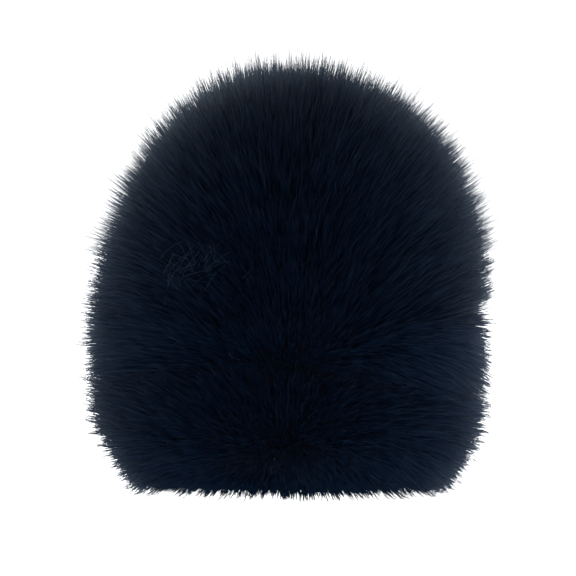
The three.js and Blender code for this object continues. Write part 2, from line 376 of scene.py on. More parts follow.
def closed_skin(name, grid, uv, ring=False):
    """A solid skinned over sections, grid (sections, points, 3). An open row's ends are capped in strips."""
    sections, count = grid.shape[:2]
    index = np.arange(sections * count).reshape(sections, count)
    far = np.roll(index, -1, axis=0) if ring else index[1:]
    near = index if ring else index[:-1]
    faces = [np.stack([near, np.roll(near, -1, 1), np.roll(far, -1, 1), far], -1).reshape(-1, 4)]
    if not ring:
        j = np.arange(count // 2 - 1)
        for section, flip in ((index[0], True), (index[-1], False)):
            cap = np.stack([section[j], section[j + 1], section[count - 2 - j], section[count - 1 - j]], -1)
            faces.append(cap[:, ::-1] if flip else cap)
    thing = put_mesh(name, grid.reshape(-1, 3), faces, uv.reshape(-1, 2))
    close_up(thing)
    return thing


def close_up(thing):
    """Merges the points that meet at a pole, drops the faces that vanish there, and turns all outwards."""
    work = bmesh.new()
    work.from_mesh(thing.data)
    bmesh.ops.remove_doubles(work, verts=work.verts, dist=2e-6)
    bmesh.ops.dissolve_degenerate(work, edges=work.edges, dist=1e-6)
    bmesh.ops.recalc_face_normals(work, faces=work.faces)
    work.to_mesh(thing.data)
    work.free()


def finish_piece(thing, material, body, *nodes):
    """Gives a piece its material and slot, puts it on its body, and hides the CAD nodes it stands for."""
    thing.data.materials.clear()
    thing.data.materials.append(material)
    if body:
        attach(thing, body)
    if nodes:
        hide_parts(*nodes)
    return thing


def surface_area(thing):
    """The total area of a mesh's faces."""
    area = np.zeros(len(thing.data.polygons))
    thing.data.polygons.foreach_get("area", area)
    return float(area.sum())


def declare_cloth(thing, width, length):
    """Prints the size of cloth that a thin closed piece is cut from. Its flat area, half of its two-sided
    one, is worked out but not used.
    """
    area = min(surface_area(thing) / 2, width * length)
    print(thing.name, "is cut from", round(width / MM), "x", round(length / MM), "mm")


# %% [markdown]
# ## The fibres' colour
# The pile is acrylic fibre dyed a black that leans to navy. A fibre is painted darkest at its root, as
# painted shade where little light gets in, and its clear tip picks up a slate tone. The colour follows the
# fibre through its UV map, whose v runs from root to tip and whose u is one random number for each fibre, so
# that no two fibres quite match. Fur is brightest where it is seen at a slant, because many fine tips
# overlap there. The shader's sheen does the same, and gives the cover its soft pale edge from every side.

# %% Make the fibre materials
ROOT_COLOUR = (0.0003, 0.0009, 0.0030)
BODY_COLOUR = (0.0005, 0.0022, 0.0095)
TIP_COLOUR = (0.0032, 0.0105, 0.0310)
GUARD_TIP_COLOUR = (0.0075, 0.0175, 0.0390)
STRAY_TIP_COLOUR = (0.0350, 0.0850, 0.1700)
PALE_COLOUR = (0.0200, 0.0280, 0.0380)
SHEEN = {"Sheen_Weight": 0.25, "Sheen_Roughness": 0.3, "Sheen_Tint": (0.7, 0.86, 1.0, 1)}
PALE_FROM = 0.95  # the random number above which a fibre is paler
PALE_MIX = 0.25


def fibre(name, tip, **constants):
    """Dyed acrylic fibre with a tip of that colour, and painted shade darkening it towards its root."""
    material, tree, shader = principled(name, "fur", **constants)
    place = add_node(tree, "ShaderNodeUVMap", {"uv_map": "UVMap"})
    chance = place.node("ShaderNodeSeparateXYZ", out=0, Vector=place)
    along = place.node("ShaderNodeSeparateXYZ", out=1, Vector=place)
    # the dark root end of this ramp is painted shade deep in the pile
    stops = [(0.0, ROOT_COLOUR), (0.7, BODY_COLOUR), (1.0, tip)]
    dye_and_shade = add_node(tree, "ShaderNodeValToRGB", {"stops": stops}, Fac=along)
    pale = chance.maths("GREATER_THAN", chance, PALE_FROM) * along * PALE_MIX
    shown = add_node(
        tree, "ShaderNodeMix", {"data_type": "RGBA"}, 2, **{"0": pale, "6": dye_and_shade, "7": (*PALE_COLOUR, 1)}
    )
    drive(tree, shader, "Base Color", shown)
    drive(tree, shader, "Roughness", chance * 0.12 + 0.52)
    return material


fibre_material = fibre(
    "fur_fibre", TIP_COLOUR, Specular_Tint=(0.15, 0.52, 1.0, 1), Specular_IOR_Level=0.08, **SHEEN
)
guard_material = fibre(
    "fur_guard_fibre", GUARD_TIP_COLOUR, Specular_Tint=(0.26, 0.58, 1.0, 1), Specular_IOR_Level=0.14, **SHEEN
)


WOOL_SPECKLES = 1800.0  # to a metre


def wool(name):
    """The dense short wool at the fibres' roots: matte, nearly black, mottled by a fine noise."""
    material, tree, shader = principled(name, "fur", Specular_IOR_Level=0.1)
    place = add_node(tree, "ShaderNodeTexCoord", out=3)
    speckle = place.node("ShaderNodeTexNoise", Vector=place, Scale=WOOL_SPECKLES, Detail=3.0)
    stops = [(0.3, ROOT_COLOUR), (0.75, BODY_COLOUR)]
    dye_and_shade = add_node(tree, "ShaderNodeValToRGB", {"stops": stops}, Fac=speckle)
    drive(tree, shader, "Base Color", dye_and_shade)
    drive(tree, shader, "Roughness", speckle * 0.2 + 0.75)
    bumped = add_node(tree, "ShaderNodeBump", Strength=0.8, Distance=0.4 * MM, Height=speckle)
    drive(tree, shader, "Normal", bumped)
    return material


wool_material = wool("fur_root_wool")

# %% [markdown]
# ## The pile
# Artificial fur is a knitted backing with fibres locked into it in tufts. Blender can grow hair from
# particles, but a particle isn't part of a mesh, so it would be lost when the model goes to another program.
# Here each fibre is a closed blade of three sides that tapers to a point. The fibres of a tuft share one
# direction and lean together at their tips, as real fibres cling, and the tufts lean by a slow wave, so that
# the pile parts and gathers instead of standing like a brush. Low on the wall they also droop. A blade this
# thin would glitter if it were shaded by its own sides, so each is shaded mostly as a part of the pile's
# surface.

# %% Spread the tufts
PILE_SEED = 45
rng = np.random.default_rng(PILE_SEED)
AREA_COLUMNS = 360
AREA_ROWS = 180
TUFT_COUNT = 32000
EVENNESS = 0.35  # how far a tuft strays from its even place, in steps
RIM_TUFTS = 1800  # more of them thicken the fringe along the rim, where it hides the wool's edge
RIM_BAND = 0.07  # the share of the way down that they stand on
RIM_CROWDING = 1.5  # above 1, more of them stand near the rim than at the band's top


def spread(count, low, high):
    """Azimuths and shares spread evenly over the dome, as seeds are on a sunflower: each point turns on from
    the last by the golden part of a turn, and both axes are stretched by the running totals of the surface's
    area."""
    azimuths = np.linspace(-np.pi, np.pi, AREA_COLUMNS + 1)
    shares = np.linspace(low, high, AREA_ROWS + 1)
    azimuth, share = np.meshgrid(azimuths, shares, indexing="ij")
    corner = dome.point(azimuth, share)
    across = corner[1:, :-1] - corner[:-1, :-1]
    down = corner[:-1, 1:] - corner[:-1, :-1]
    area = np.linalg.norm(np.cross(across, down), axis=-1)
    by_row = np.concatenate([[0], np.cumsum(area.sum(0))])
    by_column = np.concatenate([[0], np.cumsum(area.sum(1))])
    golden = (1 + 5**0.5) / 2
    number = np.arange(count)
    along = (number + 0.5 + EVENNESS * rng.normal(size=count)) / count
    turn = np.mod(number / golden + EVENNESS / count**0.5 * rng.normal(size=count), 1)
    share = np.interp(np.clip(along, 0, 1) * by_row[-1], by_row, shares)
    azimuth = np.interp(turn * by_column[-1], by_column, azimuths)
    return azimuth, share, by_row[-1]


def unit(v):
    """The vectors at a length of one."""
    return v / np.maximum(np.linalg.norm(v, axis=-1, keepdims=True), 1e-12)


def waves(points, length, seed, count=5):
    """A smooth vector field: a sum of sines with random directions, each about one wave to that length."""
    own = np.random.default_rng(seed)
    heading = unit(own.normal(size=(3, count, 3)))
    phase = own.random((3, count)) * 2 * np.pi
    pitch = 2 * np.pi / length * own.uniform(0.6, 1.5, (3, count))
    total = np.sin(np.einsum("nd,kcd->nkc", points, heading) * pitch + phase).sum(-1)
    return total / np.sqrt(count / 2)


tuft_azimuth, tuft_share, pile_area = spread(TUFT_COUNT, 0.0, 1.0)
tuft_azimuth = np.concatenate([tuft_azimuth, rng.uniform(-np.pi, np.pi, RIM_TUFTS)])
tuft_share = np.concatenate([tuft_share, 1 - RIM_BAND * rng.random(RIM_TUFTS) ** RIM_CROWDING])
print(TUFT_COUNT + RIM_TUFTS, "tufts on", round(pile_area * 1e4, 1), "cm2")

# %% Aim the tufts
START = 0.36  # the share of the pile's depth at which a fibre starts, inside the root wool
LEAN = 0.085  # how far a tuft leans aside, as a share of its length
CURL = 0.07  # how far it curls
NAP = 0.03  # and how far it is brushed down
DROOP_SHARES = (0.6, 0.85, 0.96)
DROOP = (0.0, 0.055, 0.0)  # how much nearer the crown a fibre is rooted than its tip, at those shares


class Tufts:
    """For each tuft: the root, the straight way out, the vector along its fibres, its curl, its two sideways
    directions, and how much closer together the roots stand than the tips."""

    def __init__(self, azimuth, share):
        count = len(azimuth)
        self.azimuth = azimuth
        self.root = backing.point(azimuth, share - np.interp(share, DROOP_SHARES, DROOP))
        tip = dome.point(azimuth, share)
        along = tip - self.root
        length = np.linalg.norm(along, axis=-1, keepdims=True)
        self.out = along / length
        slow = waves(tip, 30 * MM, 7) * 0.5 + waves(tip, 11 * MM, 8) * 0.4
        along = along + length * (LEAN * 0.5 * slow + LEAN * 0.4 * rng.normal(size=(count, 3)))
        along[:, 2] -= NAP * length[:, 0]
        change = 0.03 * waves(tip, 9 * MM, 9)[:, :1]
        self.along = unit(along) * length * (1 + change + 0.05 * rng.normal(size=(count, 1)))
        self.curl = CURL * length * (waves(tip, 16 * MM, 10) * 0.6 + 0.6 * rng.normal(size=(count, 3)))
        self.right = unit(np.cross(self.along, [0.0, 0.0, 1.0]) + 1e-9)
        self.up = unit(np.cross(self.right, self.along))
        from_axis = [np.linalg.norm(end[:, :2], axis=-1) for end in (self.root, tip)]
        self.ratio = np.clip(from_axis[0] / from_axis[1], 0.5, 1)

    def pick(self, mask):
        """The tufts where mask is true."""
        part = object.__new__(Tufts)
        part.__dict__ = {name: value[mask] for name, value in self.__dict__.items()}
        return part


tufts = Tufts(tuft_azimuth, tuft_share)

# %% Grow the fibres of a tuft
TUFT_SPREAD = 0.6 * MM
CLING = 0.85  # how much of its sideways distance a fibre keeps at its tip
FLOOR_CLEAR = 0.05 * MM
SOFTNESS = 0.8  # how far a fibre is shaded as part of the pile's surface, and not by its own sides
TAPER = 0.5  # the power of the distance to its tip that a fibre's thickness follows


def blades(tufts, per_tuft, levels, thickness, overshoot, wander, rise):
    """Points, UVs, faces and normals of tapered blades.
    A fibre's middle line is root + along x t + curl x 4t(1-t) + its own sideways place, which shrinks to
    CLING of itself at the tip. levels are the t of its rings of three points; one more point at t = 1 closes
    it. overshoot is the least, likeliest and most, in millimetres, that its tip stands past the pile's
    surface, wander is how far it strays from its tuft, and rise is the most that the pile stays above the
    floor. A normal is the direction of a blade's corner, moved by SOFTNESS towards the tuft's straight way
    out."""
    count = len(tufts.azimuth) * per_tuft
    own = {k: np.repeat(v, per_tuft, axis=0) for k, v in tufts.__dict__.items()}
    aside = rng.normal(size=(count, 2)) * TUFT_SPREAD
    sideways = own["right"] * aside[:, :1] + own["up"] * aside[:, 1:]
    length = np.linalg.norm(own["along"], axis=-1, keepdims=True)
    long = 1 + rng.triangular(*overshoot, size=(count, 1)) * MM / length
    stray = wander * length * rng.normal(size=(count, 3))
    sway = wander * 0.7 * length * rng.normal(size=(count, 3))

    def middle(t):
        """The points of the middle lines at t, kept above the floor."""
        way = t * long
        place = own["root"] + own["along"] * way + (own["curl"] * t + sway) * t * (1 - 0.35 * t)
        ratio = own["ratio"][:, None]
        place = place + sideways * (ratio + (CLING - ratio) * t) + stray * t * t
        lift = FLOOR_CLEAR + rise * chance[:, None] ** 2
        place[:, 2:] = np.where(place[:, 2:] < lift, lift, place[:, 2:])
        return place

    chance = rng.random(count)
    lines = [middle(t) for t in levels]
    tip = middle(1.0)
    direction = unit(tip - lines[0])
    first = unit(np.cross(direction, unit(rng.normal(size=(count, 3)))))
    second = np.cross(direction, first)
    width = thickness * rng.uniform(0.75, 1.25, (count, 1))
    points, along, normals = [], [], []
    for t, line in zip(levels, lines):
        taper = ((1 - t) / (1 - levels[0])) ** TAPER
        for corner in range(3):
            turn = corner * 2 * np.pi / 3
            side = np.cos(turn) * first + np.sin(turn) * second
            points.append(line + width * taper * side)
            normals.append(unit(side + (own["out"] - side) * SOFTNESS))
            along.append(t)
    points.append(tip)
    normals.append(own["out"])
    along.append(1.0)
    grid = np.stack(points, axis=1)
    grid[..., 2] = np.maximum(grid[..., 2], FLOOR_CLEAR / 2)
    uv = np.stack(np.broadcast_arrays(chance[:, None], np.array(along)), axis=-1)
    normals = np.stack(normals, axis=1)
    return grid.reshape(-1, 3), uv.reshape(-1, 2), blade_faces(count, len(levels)), normals.reshape(-1, 3)


def blade_faces(count, rings):
    """The faces of one blade, repeated: a base, three sides for each pair of rings, and three at the tip."""
    last = 3 * (rings - 1)
    turns = [(k, (k + 1) % 3) for k in range(3)]
    lows = range(0, last, 3)
    sides = [(low + k, low + after, low + 3 + after, low + 3 + k) for low in lows for k, after in turns]
    ends = [(2, 1, 0)] + [(last + k, last + after, last + 3) for k, after in turns]
    start = (np.arange(count) * (3 * rings + 1))[:, None, None]
    return [(np.array(part)[None] + start).reshape(count * len(part), -1) for part in (sides, ends)]


def gore_of(azimuth):
    """0 to 3 for front, right, back and left: which pair of seams an azimuth lies between."""
    turned = np.mod(azimuth + np.pi - SEAM_TURN, 2 * np.pi)
    across = np.pi - 2 * SEAM_TURN
    edges = np.cumsum([across, 2 * SEAM_TURN, across])
    return np.searchsorted(edges, turned)


# %% Grow the pile
BODY_FIBRES = 3  # in a tuft: short dense ones
GUARD_FIBRES = 1  # and a thinner one that stands past them
PIECE_TRIANGLES = 190_000
pile_pieces = {side: [] for side in SIDES}


def grow(kind, per_tuft, levels, thickness, overshoot, wander, rise, material):
    """One kind of fibre over the whole cover, in pieces that each stay under PIECE_TRIANGLES triangles."""
    triangles = 4 + 6 * (len(levels) - 1)
    most = PIECE_TRIANGLES // (triangles * per_tuft)
    gore = gore_of(tufts.azimuth)
    for number, side in enumerate(SIDES):
        members = np.flatnonzero(gore == number)
        parts = np.array_split(members, int(np.ceil(len(members) / most)))
        for i, part in enumerate(parts):
            points, uv, faces, normals = blades(
                tufts.pick(part), per_tuft, levels, thickness, overshoot, wander, rise
            )
            piece = put_mesh(f"fur_{side}_{kind}_{i + 1}", points, faces, uv, normals=normals)
            finish_piece(piece, material, "cover", f"fur_{side}_gore")
            pile_pieces[side].append(piece)
            print(piece.name, len(part) * per_tuft, "fibres")


grow("pile", BODY_FIBRES, (START, 0.72), 0.158 * MM, (-6.0, -2.0, 2.2), 0.045, 2.4 * MM, fibre_material)
grow("guard", GUARD_FIBRES, (START, 0.6, 0.82), 0.105 * MM, (-2.5, 1.0, 6.6), 0.05, 0.8 * MM, guard_material)

# %% [markdown]
# ## Stray hairs
# Handling leaves a few long single hairs standing proud of the pile, and on the left of the front a small
# tousled patch, where paler hairs lie across each other on the surface. Each is a thin blade with more rings
# than a fibre of the pile, because it curves more.

# %% Add the stray hairs
STRAY_COUNT = 150
TOUSLE_COUNT = 48
TOUSLE_CENTRE = np.array([-25.5, 0, 66.0]) * MM
STRAY_LEVELS = (0.0, 0.25, 0.5, 0.75)
STRAY_THICK, TOUSLE_THICK = 0.07 * MM, 0.08 * MM


def hair(name, start, end, bend, thickness, material):
    """Blades from start to end whose middles are moved by bend x 4t(1-t), on four rings and a tip."""
    count = len(start)
    direction = unit(end - start)
    first = unit(np.cross(direction, unit(rng.normal(size=(count, 3)))))
    second = np.cross(direction, first)
    chance = rng.random(count)
    points, along = [], []
    for t in STRAY_LEVELS:
        line = start + (end - start) * t + bend * 4 * t * (1 - t)
        for corner in range(3):
            turn = corner * 2 * np.pi / 3
            side = np.cos(turn) * first + np.sin(turn) * second
            points.append(line + thickness * (1 - t) ** TAPER * side)
            along.append(t)
    points.append(end)
    along.append(1.0)
    grid = np.stack(points, axis=1)
    grid[..., 2] = np.maximum(grid[..., 2], FLOOR_CLEAR / 2)
    uv = np.stack(np.broadcast_arrays(chance[:, None], np.array(along)), -1)
    faces = blade_faces(count, len(STRAY_LEVELS))
    piece = put_mesh(name, grid.reshape(-1, 3), faces, uv.reshape(-1, 2))
    return finish_piece(piece, material, "cover", "fur_front_gore")


stray_material = fibre(
    "fur_stray_hair", STRAY_TIP_COLOUR, Specular_Tint=(0.3, 0.6, 1.0, 1), Specular_IOR_Level=0.3
)
stray_azimuth, stray_share, _ = spread(STRAY_COUNT, 0.02, 0.97)
stray_azimuth = stray_azimuth + rng.normal(size=STRAY_COUNT) * 0.3
stray_tip = dome.point(stray_azimuth, stray_share)
stray_out = unit(stray_tip - backing.point(stray_azimuth, stray_share))
stray_way = unit(stray_out + 0.45 * rng.normal(size=(STRAY_COUNT, 3)))
stray_end = stray_tip + stray_way * rng.uniform(2.0, 7.0, (STRAY_COUNT, 1)) * MM
stray_bend = rng.normal(size=(STRAY_COUNT, 3)) * 0.7 * MM
stray_start = stray_tip - stray_out * 5 * MM

# four long ones stand out at the edge: each from (x, z) to (x, z) in millimetres, midway from front to back
EDGE_HAIRS = np.array([[-36, 104, -46, 117], [-11, 119, -13, 131], [54, 64, 67, 66], [-54, 20, -64, 16]]) * MM
edge_start, edge_end = (np.insert(EDGE_HAIRS[:, i : i + 2], 1, 0, axis=1) for i in (0, 2))
stray_piece = hair(
    "fur_stray_hairs",
    np.concatenate([stray_start, edge_start]),
    np.concatenate([stray_end, edge_end]),
    np.concatenate([stray_bend, rng.normal(size=(len(EDGE_HAIRS), 3)) * 0.8 * MM]),
    STRAY_THICK,
    stray_material,
)

# %% Add the tousled patch
TOUSLE_SEED = 6
TOUSLE_HEADINGS = [0.1, 0.75, 0.85, 2.3]  # the ways that its hairs lie, in radians from the level
TOUSLE_WIDE, TOUSLE_HIGH = 7, 5  # half of the patch each way, in millimetres
tousle_rng = np.random.default_rng(TOUSLE_SEED)
tousle_x = TOUSLE_CENTRE[0] + tousle_rng.uniform(-TOUSLE_WIDE, TOUSLE_WIDE, TOUSLE_COUNT) * MM
tousle_z = TOUSLE_CENTRE[2] + tousle_rng.uniform(-TOUSLE_HIGH, TOUSLE_HIGH, TOUSLE_COUNT) * MM


def on_front(x, z):
    """The point of the dome's front that stands at x and z: the share is searched on a fine row of shares,
    and the azimuth is corrected until the point's x is the one that is wanted."""
    azimuth = np.full_like(x, -np.pi / 2)
    shares = np.linspace(0.05, 0.98, 400)
    for _ in range(12):
        column = dome.point(azimuth[:, None], shares[None])
        best = np.abs(column[..., 2] - z[:, None]).argmin(1)
        found = column[np.arange(len(x)), best]
        radius = np.hypot(found[:, 0], found[:, 1])
        azimuth = -np.arccos(np.clip(x / radius, -1, 1))
    return found, unit(found - backing.point(azimuth, shares[best]))


tousle_middle, tousle_out = on_front(tousle_x, tousle_z)
tousle_heading = tousle_rng.choice(TOUSLE_HEADINGS, TOUSLE_COUNT)
tousle_heading = tousle_heading + tousle_rng.normal(size=TOUSLE_COUNT) * 0.25
tousle_way = np.stack([np.cos(tousle_heading), 0 * tousle_heading, np.sin(tousle_heading)], -1)
tousle_way = unit(tousle_way - tousle_out * (tousle_way * tousle_out).sum(-1, keepdims=True))
tousle_half = tousle_way * tousle_rng.uniform(1.5, 4.8, (TOUSLE_COUNT, 1)) * MM
tousle_lift = tousle_out * tousle_rng.uniform(0.2, 2.4, (TOUSLE_COUNT, 1)) * MM
tousle_piece = hair(
    "fur_tousled_patch",
    tousle_middle - tousle_half + tousle_lift - tousle_out * 1.2 * MM,
    tousle_middle + tousle_half + tousle_lift,
    tousle_out * 0.6 * MM + tousle_rng.normal(size=(TOUSLE_COUNT, 3)) * 0.3 * MM,
    TOUSLE_THICK,
    stray_material,
)
for piece in (stray_piece, tousle_piece):
    pile_pieces["front"].append(piece)
print(STRAY_COUNT, "stray hairs and", TOUSLE_COUNT, "in the tousled patch")

# %% [markdown]
# ## Cloth and foam finishes
# The layers inside the pile are cloth and foam. A woven tape is ribbed across its length, a mesh lining has
# rows of small holes, a stretch knit has ribs, and open-cell foam is a mass of tiny bubbles. Each pattern
# here is worked out from the piece's own UV map, in millimetres along and across the cloth, or for foam from
# its place in space. Its hollows are painted darker than its threads and walls, as painted shade.

# %% Make the cloth finishes
TURN = 2 * np.pi


def cloth_place(tree):
    """A piece's place along and across its cloth, in millimetres, as two wires."""
    place = add_node(tree, "ShaderNodeUVMap", {"uv_map": "UVMap"})
    return [place.node("ShaderNodeSeparateXYZ", out=axis, Vector=place) for axis in (0, 1)]


def wave(wire, pitch, shift=0.0):
    """A wave between 0 and 1 that repeats every pitch."""
    phase = wire * (TURN / pitch) + shift
    return phase.maths("SINE", phase) * 0.5 + 0.5


def dye(tree, shader, height, dark, light, bump, rough):
    """Colours cloth by height, from hollows painted dark as shade to light threads, and bumps it."""
    # the dark end of this ramp is painted shade in the cloth's hollows
    dye_and_shade = add_node(tree, "ShaderNodeValToRGB", {"stops": [(0.2, dark), (0.8, light)]}, Fac=height)
    drive(tree, shader, "Base Color", dye_and_shade)
    drive(tree, shader, "Roughness", rough - height * 0.12)
    bumped = add_node(tree, "ShaderNodeBump", Strength=0.7, Distance=bump, Height=height)
    drive(tree, shader, "Normal", bumped)


def speckle(tree, size):
    """Fine noise in object space whose grains are about that size, in metres."""
    place = add_node(tree, "ShaderNodeTexCoord", out=3)
    return add_node(tree, "ShaderNodeTexNoise", Vector=place, Scale=1 / size, Detail=3.0)


def cloth(name, slot, shine, sheen, spread_out):
    """A cloth's material, with its shine, its sheen, and how far the sheen spreads over it."""
    return principled(name, slot, Specular_IOR_Level=shine, Sheen_Weight=sheen, Sheen_Roughness=spread_out)


def ribbed_tape(name, slot, dark, light, pitch=0.55, fine=0.28, rough=0.8):
    """Grosgrain: ribs across the tape, each crossed by finer warp threads."""
    material, tree, shader = cloth(name, slot, 0.35, 0.15, 0.4)
    along, across = cloth_place(tree)
    height = wave(along, pitch) * 0.6 + wave(across, fine) * 0.25 + speckle(tree, 0.4 * MM) * 0.2
    dye(tree, shader, height, dark, light, 0.12 * MM, rough)
    return material


def mesh_knit(name, slot, dark, light, pitch=1.3):
    """Warp-knitted mesh: threads on a diamond grid round holes painted dark, for the foam behind and its
    shade.
    """
    material, tree, shader = cloth(name, slot, 0.3, 0.2, 0.5)
    along, across = cloth_place(tree)
    hole = wave(along + across, pitch) * wave(along - across, pitch)
    height = 1 - hole * 1.4 + speckle(tree, 0.25 * MM) * 0.15
    dye(tree, shader, height, dark, light, 0.25 * MM, 0.85)
    return material


def rib_knit(name, slot, dark, light, pitch=0.9, stitch=0.7):
    """Ribbed stretch knit: rounded ribs of small slanted stitches."""
    material, tree, shader = cloth(name, slot, 0.3, 0.2, 0.5)
    along, across = cloth_place(tree)
    rib = wave(along, pitch)
    loops = wave(across + rib * (stitch / 2), stitch)
    height = rib * 0.6 + loops * 0.3 + speckle(tree, 0.3 * MM) * 0.15
    dye(tree, shader, height, dark, light, 0.2 * MM, 0.85)
    return material


def twisted_thread(name, slot, dark, light):
    """Sewing thread, whose plies run round it as slanted stripes. u is millimetres along, v turns round."""
    material, tree, shader = cloth(name, slot, 0.45, 0.2, 0.4)
    along, around = cloth_place(tree)
    height = wave(along + around * 0.6, 0.6)
    dye(tree, shader, height, dark, light, 0.05 * MM, 0.6)
    return material


def open_cell_foam(name, slot, dark, light):
    """Reticulated foam: bubbles of two sizes, painted dark inside as shade, with paler walls."""
    material, tree, shader = principled(name, slot, Specular_IOR_Level=0.2)
    place = add_node(tree, "ShaderNodeTexCoord", out=3)
    settings = {"feature": "DISTANCE_TO_EDGE"}
    large = add_node(tree, "ShaderNodeTexVoronoi", settings, Vector=place, Scale=950.0)
    small = add_node(tree, "ShaderNodeTexVoronoi", settings, Vector=place, Scale=2100.0)
    height = 1 - (large * 2.2 + small * 0.8)
    dye(tree, shader, height, dark, light, 0.5 * MM, 0.95)
    return material


tape_material = ribbed_tape("woven_tape", "webbing", (0.004, 0.005, 0.007), (0.030, 0.033, 0.039))
binding_material = ribbed_tape(
    "rim_binding_tape", "webbing", (0.005, 0.006, 0.008), (0.040, 0.044, 0.052), 0.7
)
elastic_material = ribbed_tape(
    "braided_elastic", "elastic", (0.008, 0.008, 0.009), (0.050, 0.052, 0.056), 0.9, 0.7, 0.75
)
lining_material = mesh_knit(
    "mesh_lining_knit", "mesh_lining", (0.0012, 0.0015, 0.0020), (0.045, 0.048, 0.056)
)
backing_material = rib_knit(
    "fur_backing_knit", "fur", (0.0012, 0.0016, 0.0026), (0.0110, 0.0130, 0.0180), 1.4, 1.0
)
cuff_material = rib_knit("stretch_rib_knit", "stretch_knit", (0.0035, 0.0040, 0.0055), (0.036, 0.039, 0.047))
thread_material = twisted_thread("sewing_thread", "thread", (0.012, 0.013, 0.016), (0.085, 0.092, 0.105))
label_material = ribbed_tape(
    "label_ribbon", "label_satin", (0.42, 0.43, 0.44), (0.62, 0.63, 0.64), 0.18, 0.12, 0.5
)
foam_material = open_cell_foam("windscreen_foam", "foam", (0.0015, 0.0017, 0.0020), (0.0260, 0.0280, 0.0310))

# %% [markdown]
# ## The knitted backing and the root wool
# The pile is locked into a knitted backing. Between the fibres' feet lies a dense short wool, which stops the
# light. Each gore gets both: a thin closed shell for the knit, which is a sheet of cloth stretched over the
# foam, and on it a thicker one, to a little under half of the pile's depth, whose surface is roughened by
# waves.

# %% Lay the backing and the root wool
WOOL_DEPTH, WOOL_DEPTH_AT_RIM = 0.45, 0.25
BACKING_THICK = 0.6 * MM
GORE_SHIFT = 0.22 * MM  # how far each gore stands out from the middle, so that neighbours don't touch
GORE_ACROSS, GORE_DOWN = 60, 70  # sections across a gore, and points from the crown to the rim
gore_edges = {
    "front": (-np.pi + SEAM_TURN, -SEAM_TURN),
    "right": (-SEAM_TURN, SEAM_TURN),
    "back": (SEAM_TURN, np.pi - SEAM_TURN),
    "left": (np.pi - SEAM_TURN, np.pi + SEAM_TURN),
}
gore_out = {"front": (0, -1, 0), "right": (1, 0, 0), "back": (0, 1, 0), "left": (-1, 0, 0)}


def wool_foot(azimuth, share):
    """The top of the knitted backing: its thickness away from the bag's surface, towards the pile's."""
    low, high = backing.point(azimuth, share), dome.point(azimuth, share)
    return low + unit(high - low) * BACKING_THICK


def wool_top(azimuth, share):
    """The backing moved out by a share of the pile's depth, roughened by two waves of 3 and 7 mm. The wool
    thins towards the rim, so that its edge isn't seen under the pile."""
    low, high = backing.point(azimuth, share), dome.point(azimuth, share)
    depth = np.interp(share, (0, 0.9, 1), (WOOL_DEPTH, WOOL_DEPTH, WOOL_DEPTH_AT_RIM))[..., None]
    flat = (low + (high - low) * depth).reshape(-1, 3)
    rough = (waves(flat, 3 * MM, 21)[:, :1] * 0.25 + waves(flat, 7 * MM, 22)[:, :1] * 0.35) * MM
    return (flat + unit((high - low).reshape(-1, 3)) * rough).reshape(low.shape)


def move(thing, offset):
    """Shifts the points of a mesh, so that its object stays at the origin."""
    thing.data.transform(Matrix.Translation(Vector(offset)))


def gore_cut(surface, start, end):
    """The width of a gore at its widest and its length from the crown to the rim, laid flat."""
    azimuth = np.linspace(start, end, 40)
    across = surface.point(azimuth, 0.55)
    down = surface.point((start + end) / 2, np.linspace(0, 1, 80))
    return [float(np.linalg.norm(np.diff(line, axis=0), axis=-1).sum()) for line in (across, down)]


CUT_SLACK = 1.06  # a gore is cut a little larger than it lies
backing_pieces = {}
for side, (start, end) in gore_edges.items():
    azimuths, shares = np.linspace(start, end, GORE_ACROSS), np.linspace(0, 1, GORE_DOWN)
    shift = np.array(gore_out[side]) * GORE_SHIFT
    knit = shell(f"fur_{side}_backing", wool_foot, backing.point, azimuths, shares)
    wool_piece = shell(f"fur_{side}_root_wool", wool_top, wool_foot, azimuths, shares)
    for piece, material in ((knit, backing_material), (wool_piece, wool_material)):
        move(piece, shift)
        finish_piece(piece, material, "cover", f"fur_{side}_gore")
    backing_pieces[side] = knit
    pile_pieces[side].append(wool_piece)

# %% [markdown]
# ## The foam wall
# Behind each fur gore is a foam gore cut to the same pattern. It holds the dome's shape and a pocket of still
# air round the microphones. The foam is sewn in at its edges, where it is pinched thin, and swells between
# them.

# %% Make the foam gores
FOAM_AT, FOAM_THICK, FOAM_AT_RIM = 1.6 * MM, 6 * MM, 2.5 * MM
LINING_THICK = 0.8 * MM
LAYER_GAP = 0.3 * MM
foam_outside = layer(FOAM_AT, FOAM_AT)
foam_inside = layer(FOAM_AT + FOAM_THICK, FOAM_AT + FOAM_AT_RIM)
LINING_AT = FOAM_AT + FOAM_THICK + LAYER_GAP
LINING_AT_RIM = FOAM_AT + FOAM_AT_RIM + LAYER_GAP
PINCH = 0.45  # how much of the foam's thickness its sewn edges lose
PINCH_REACH = 0.10  # in radians from the edge
FOAM_ACROSS = 56

